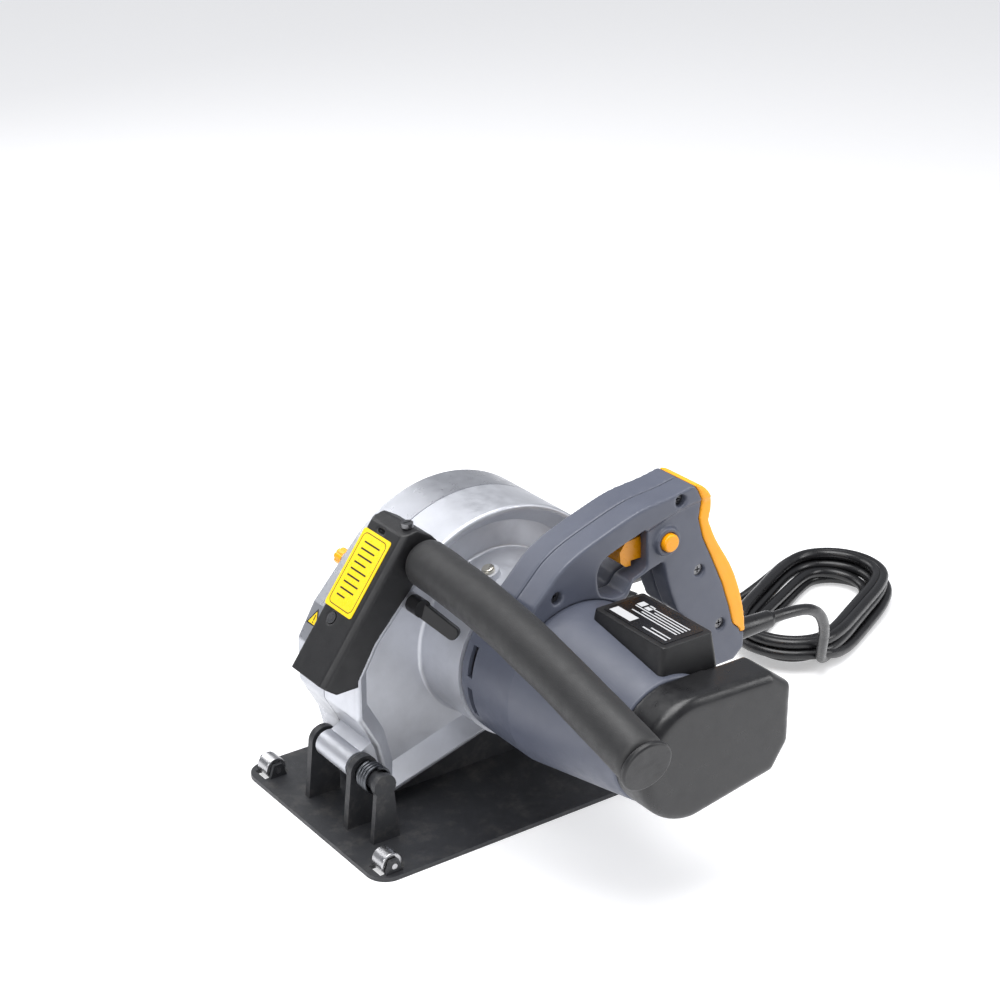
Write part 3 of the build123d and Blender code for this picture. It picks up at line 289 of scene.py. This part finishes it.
def tube_mesh(points, radii, around):
    """Rings round a line of points, closed with a cap at both ends."""
    mesh = bpy.data.meshes.new("tube")
    build = bmesh.new()
    side = Vector((0, 0, 1))
    rings = []
    for number, (point, radius) in enumerate(zip(points, radii)):
        before = points[max(0, number - 1)]
        after = points[min(len(points) - 1, number + 1)]
        along = (after - before).normalized()
        if along.length < 0.5:
            along = (points[-1] - points[0]).normalized()
        across = along.cross(side).normalized()
        upward = across.cross(along)
        ring = []
        for step in range(around):
            angle = 2 * math.pi * step / around
            offset = across * math.cos(angle) + upward * math.sin(angle)
            ring.append(build.verts.new(point + offset * radius))
        rings.append(ring)
    for first, second in zip(rings, rings[1:]):
        for step in range(around):
            after = (step + 1) % around
            build.faces.new((first[step], first[after], second[after], second[step]))
    build.faces.new(list(reversed(rings[0])))
    build.faces.new(rings[-1])
    bmesh.ops.recalc_face_normals(build, faces=build.faces)
    build.to_mesh(mesh)
    build.free()
    return mesh


def curve_points(route, count):
    """Points along a smooth open line through the control points of a route."""
    data = bpy.data.curves.new("line", "CURVE")
    data.dimensions = "3D"
    data.resolution_u = 24
    spline = data.splines.new("NURBS")
    spline.points.add(len(route) - 1)
    for point, place in zip(spline.points, route):
        point.co = (*place, 1.0)
    spline.order_u = 3
    spline.use_endpoint_u = True
    line = bpy.data.objects.new("line", data)
    bpy.context.scene.collection.objects.link(line)
    mesh = applied(line)
    places = [vertex.co.copy() for vertex in mesh.vertices]
    bpy.data.objects.remove(line)
    lengths = [0.0]
    for first, second in zip(places, places[1:]):
        lengths.append(lengths[-1] + (second - first).length)
    found = []
    segment = 0
    for number in range(count):
        wanted = lengths[-1] * number / (count - 1)
        while segment < len(lengths) - 2 and lengths[segment + 1] < wanted:
            segment += 1
        share = (wanted - lengths[segment]) / max(1e-9, lengths[segment + 1] - lengths[segment])
        found.append(places[segment].lerp(places[segment + 1], min(1.0, max(0.0, share))))
    return found


# ---- cord ----
CORD_RADIUS = 0.004
LEAD_ROUTE = [
    (-0.179, 0.0615, 0.087),
    (-0.204, 0.0615, 0.087),
    (-0.226, 0.058, 0.078),
    (-0.243, 0.049, 0.057),
    (-0.255, 0.035, 0.031),
    (-0.268, 0.021, 0.010),
    (-0.292, 0.008, 0.0055),
]
TAIL_ROUTE = [
    (-0.3113, -0.0905, 0.016),
    (-0.2782, -0.0893, 0.006),
    (-0.247, -0.1076, 0.009),
    (-0.2228, -0.1346, 0.009),
]
HANK_CENTRE = Vector((-0.318, -0.042, 0))
HANK_ANGLE = math.radians(-154)
# each turn of the hank: end radius, half length of its straight runs, height, sideways shift and slant
TURNS = [
    (0.0335, 0.045, 0.0055, 0.000, 0.0),
    (0.0250, 0.046, 0.0053, 0.000, 0.4),
    (0.0295, 0.044, 0.0137, 0.001, -1.5),
    (0.0375, 0.046, 0.0142, -0.001, 1.2),
    (0.0430, 0.044, 0.0060, 0.000, -0.6),
    (0.0338, 0.045, 0.0218, 0.001, 0.8),
    (0.0395, 0.045, 0.0224, 0.000, 0.0),
]
TURN_STEPS = 14


def hank_points():
    """Control points of the hank's turns, from where the lead comes in to the far side of the last turn."""
    points = []
    for number in range(len(TURNS) * TURN_STEPS - TURN_STEPS // 2 + 1):
        turn, step = divmod(number, TURN_STEPS)
        share = step / TURN_STEPS
        now = TURNS[turn]
        later = TURNS[min(turn + 1, len(TURNS) - 1)]
        starts = (0.42, 0.08) if later[2] > now[2] + 0.001 else (0.08, 0.5)
        wide, rise = (min(1.0, max(0.0, (share - start) / 0.42)) for start in starts)
        radius, run, height, shift, slant = (
            a + (b - a) * (rise if place == 2 else wide) for place, (a, b) in enumerate(zip(now, later))
        )
        half = TURN_STEPS // 2
        end = 1 if step < half else -1
        local_step = step % half
        straight = 2
        if local_step <= straight:
            x = end * run * (local_step - straight / 2) / (straight / 2)
            y = -end * radius
        else:
            angle = math.pi * (local_step - straight) / (half - straight) - math.pi / 2
            x = end * (run + radius * math.cos(angle) * 1.03)
            y = end * radius * math.sin(angle) * 1.03
        if turn in (3, 4) and end < 0 and local_step > straight:
            height = max(height, 0.0148)
        direction = HANK_ANGLE + math.radians(slant)
        place = Vector((x, y + shift, 0))
        place.rotate(Matrix.Rotation(direction, 3, "Z"))
        place += HANK_CENTRE
        place.z = height
        points.append(tuple(place))
    return points


def make_cord():
    """The whole mains cord: lead, hank and tail on one smooth line."""
    data = bpy.data.curves.new("mains_cord", "CURVE")
    data.dimensions = "3D"
    data.resolution_u = 8
    data.bevel_depth = CORD_RADIUS
    data.bevel_resolution = 5
    data.use_fill_caps = True
    route = LEAD_ROUTE + hank_points()[1:] + TAIL_ROUTE
    spline = data.splines.new("NURBS")
    spline.points.add(len(route) - 1)
    for point, place in zip(spline.points, route):
        point.co = (*place, 1.0)
    spline.order_u = 3
    spline.use_endpoint_u = True
    data.materials.append(LOOK["cord"])
    cord = bpy.data.objects.new("mains_cord", data)
    bpy.context.scene.collection.objects.link(cord)
    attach(cord, HEAD)
    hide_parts("cord_runs", "cord_hank")
    return cord


def relief_mesh():
    """Tapered sleeve with a thin collar that keeps the cord from kinking at the handle."""
    stations = [(-0.1240, 0.0058), (-0.1406, 0.0058), (-0.1408, 0.0073), (-0.1418, 0.0075), (-0.1600, 0.0068)]
    stations += [(-0.1757, 0.0062), (-0.1770, 0.0059), (-0.1772, 0.0051), (-0.1790, 0.0050)]
    points = [Vector((x, 0.0615, 0.087)) for x, _ in stations]
    return tube_mesh(points, [radius for _, radius in stations], 40)


cord = make_cord()
relief = register(relief_mesh(), "strain_relief_sleeve", "cord", HEAD)
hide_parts("strain_relief")


# ---- front bar's foam ----
BAR_ROUTE = [(0.0635, 0.0037, 0.1745), (0.0645, 0.060, 0.173), (0.0675, 0.140, 0.162), (0.071, 0.232, 0.141)]


def foam_mesh():
    """Closed-cell foam sleeve: a slightly uneven tube with rounded ends."""
    count = 150
    points = curve_points(BAR_ROUTE, count)
    length = 0.232
    radii = []
    for number in range(count):
        along = length * number / (count - 1)
        edge = min(along, length - along) / 0.006
        fall = math.sqrt(max(0.0, 1 - (1 - min(1.0, edge)) ** 2))
        radii.append(0.0101 + (0.0155 - 0.0101) * fall)
    mesh = tube_mesh(points, radii, 96)
    axis_start = points[0]
    chord = points[-1] - axis_start
    for vertex in mesh.vertices:
        place = vertex.co
        share = (place - axis_start).dot(chord.normalized()) / chord.length
        centre = points[int(min(count - 1, max(0, round(share * (count - 1)))))]
        outward = place - centre
        if outward.length < 1e-6:
            continue
        lump = noise.noise(place * 38.0) * 0.00035 + noise.noise(place * 150.0) * 0.00012
        vertex.co = place + outward.normalized() * lump
    return mesh


foam = register(foam_mesh(), "foam_grip_sleeve", "foam", HEAD)
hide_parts("foam_sleeve")


# ---- handle mouldings ----
moulded("handle_near", "slate", 0.0009, 9)
moulded("handle_far", "slate", 0.0009, 9)
moulded("soft_grip", "orange", 0.0009, 18)
moulded("end_cap", "cap", 0.0012, 6)
moulded("front_bracket", "black", 0.0009, 3)


# ---- labels and plates ----
PRINT_HEIGHT = 0.00006


def raised(patches, origin, right, up, height, name, look):
    """Thin printed patches on a flat face: each patch is a list of corners in millimetres."""
    mesh = bpy.data.meshes.new(name)
    build = bmesh.new()
    out = right.cross(up).normalized()
    for patch in patches:
        corners = [origin + right * (x / 1000) + up * (y / 1000) for x, y in patch]
        low = [build.verts.new(corner) for corner in corners]
        high = [build.verts.new(corner + out * height) for corner in corners]
        build.faces.new(high)
        build.faces.new(list(reversed(low)))
        for step in range(len(corners)):
            after = (step + 1) % len(corners)
            build.faces.new((low[step], low[after], high[after], high[step]))
    bmesh.ops.recalc_face_normals(build, faces=build.faces)
    build.to_mesh(mesh)
    build.free()
    piece = register(mesh, name, look, HEAD)
    for face in mesh.polygons:
        face.use_smooth = False
    return piece


def bar(x0, x1, y0, y1):
    """Corners of an upright rectangle."""
    return [(x0, y0), (x1, y0), (x1, y1), (x0, y1)]


def rounded_outline(half_x, half_y, corner, width):
    """Thin frame with round corners, as short patches."""
    loop = []
    for quarter in range(4):
        centre_x = (half_x - corner) * (1 if quarter in (0, 3) else -1)
        centre_y = (half_y - corner) * (1 if quarter in (0, 1) else -1)
        for step in range(7):
            angle = math.pi / 2 * (quarter + step / 6)
            loop.append((centre_x, centre_y, math.cos(angle), math.sin(angle)))
    patches = []
    for first, second in zip(loop, loop[1:] + loop[:1]):
        inner = corner - width
        corners = []
        sides = ((first, corner), (second, corner), (second, inner), (first, inner))
        for (x, y, across, upward), size in sides:
            corners.append((x + across * size, y + upward * size))
        patches.append(corners)
    return patches


slope = Vector((62, 0, -86)).normalized()
label_right = Vector((0, 1, 0))
label_up = -slope
label_out = label_right.cross(label_up).normalized()
label_centre = Vector((0.077, -0.0195, 0.193)) + slope * 0.0335 + label_out * 0.0004
label_patches = rounded_outline(13.0, 24.8, 4.0, 0.5)
for row in range(9):
    width = (17, 15, 16, 13, 17, 14, 16, 15, 9)[row]
    label_patches.append(bar(-8.5, -8.5 + width, 18.5 - row * 4.6, 19.6 - row * 4.6))
raised(
    label_patches, label_centre, label_right, label_up, PRINT_HEIGHT,
    "label_print", "print_black",
)

# small warning sign on the slanted front wall of the guard's far half: border, face and mark in layers
facet_up = Vector((-13, 0, 22.5)).normalized()
facet_out = label_right.cross(facet_up).normalized()
SIGN_BORDER_HEIGHT = 0.00012
SIGN_MARK_HEIGHT = 0.00004
sign_border = [[(-6.5, -5), (6.5, -5), (0, 6.5)]]
sign_face = [[(-4.9, -4.1), (4.9, -4.1), (0, 4.6)]]
sign_mark = [bar(-0.5, 0.5, -1.7, 2.2), bar(-0.5, 0.5, -3.4, -2.4)]
sign_layers = [
    (sign_border, SIGN_BORDER_HEIGHT, "sign_border", "print_black", "black_plastic"),
    (sign_face, PRINT_HEIGHT, "sign_face", "label", "yellow_foil"),
    (sign_mark, SIGN_MARK_HEIGHT, "sign_mark", "print_black", "black_plastic"),
]
sign_centre = Vector((0.10355, -0.0630, 0.118625)) + facet_out * 0.00005
for patches, height, name, look, slot in sign_layers:
    raised(patches, sign_centre, label_right, facet_up, height, name, look)
    sign_centre += facet_out * height

plate_low, plate_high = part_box("rating_plate")
plate_centre = (plate_low + plate_high) / 2
plate_centre.z = plate_high.z
plate_patches = [bar(6, 26, 6, 13), bar(-26, -4, 10.6, 11.8), bar(-26, -8, 7.6, 8.6)]
for row in range(5):
    width = (42, 36, 45, 30, 39)[row]
    plate_patches.append(bar(-24, -24 + width, 1.2 - row * 2.6, 2.2 - row * 2.6))
plate_patches += [bar(10, 15, -10.5, -5), bar(17, 22, -10.5, -5)]
plate_right = Vector((0, -1, 0))
plate_up = Vector((1, 0, 0))
raised(
    plate_patches, plate_centre, plate_right, plate_up, PRINT_HEIGHT,
    "plate_print", "print_white",
)


# ---- floor and light ----
def make_stage():
    """Pale floor: one large flat plane, which also fills the view behind the tool."""
    mesh = bpy.data.meshes.new("floor")
    build = bmesh.new()
    corners = [build.verts.new(place) for place in ((-16, -16, 0), (16, -16, 0), (16, 16, 0), (-16, 16, 0))]
    build.faces.new(corners)
    build.to_mesh(mesh)
    build.free()
    floor = bpy.data.objects.new("floor", mesh)
    bpy.context.scene.collection.objects.link(floor)
    pale = surface("floor_pale", linear(226, 226, 227), 0.65, 0.0, 400.0, 0.00002, 0.01, specular=0.2)
    glow = pale.node_tree.nodes["Principled BSDF"]
    glow.inputs["Emission Color"].default_value = (1.0, 1.0, 1.0, 1.0)
    glow.inputs["Emission Strength"].default_value = 0.42
    mesh.materials.append(pale)


def soft_light(name, place, target, size, power, tint=(1.0, 1.0, 1.0)):
    """Area light that faces a point."""
    data = bpy.data.lights.new(name, "AREA")
    data.shape = "RECTANGLE"
    data.size, data.size_y = size
    data.energy = power
    data.color = tint
    lamp = bpy.data.objects.new(name, data)
    bpy.context.scene.collection.objects.link(lamp)
    lamp.location = place
    aim = Vector(target) - Vector(place)
    lamp.rotation_euler = aim.to_track_quat("-Z", "Y").to_euler()


make_stage()
soft_light("top_softbox", (0.1, 0.1, 1.5), (0, 0, 0.1), (1.2, 1.2), 27)
soft_light("front_softbox", (1.4, 0.7, 0.9), (0, 0, 0.1), (0.9, 0.7), 9)
soft_light("rear_strip", (-1.2, 0.9, 0.8), (0, 0.05, 0.1), (0.5, 1.0), 8)
soft_light("far_fill", (0.2, -1.4, 0.9), (0, 0, 0.1), (1.2, 0.6), 7)
world = bpy.data.worlds.new("studio")
world.use_nodes = True
world.node_tree.nodes["Background"].inputs[0].default_value = (0.92, 0.94, 1.0, 1.0)
world.node_tree.nodes["Background"].inputs[1].default_value = 0.42
bpy.context.scene.world = world
bpy.context.scene.view_settings.view_transform = "Standard"
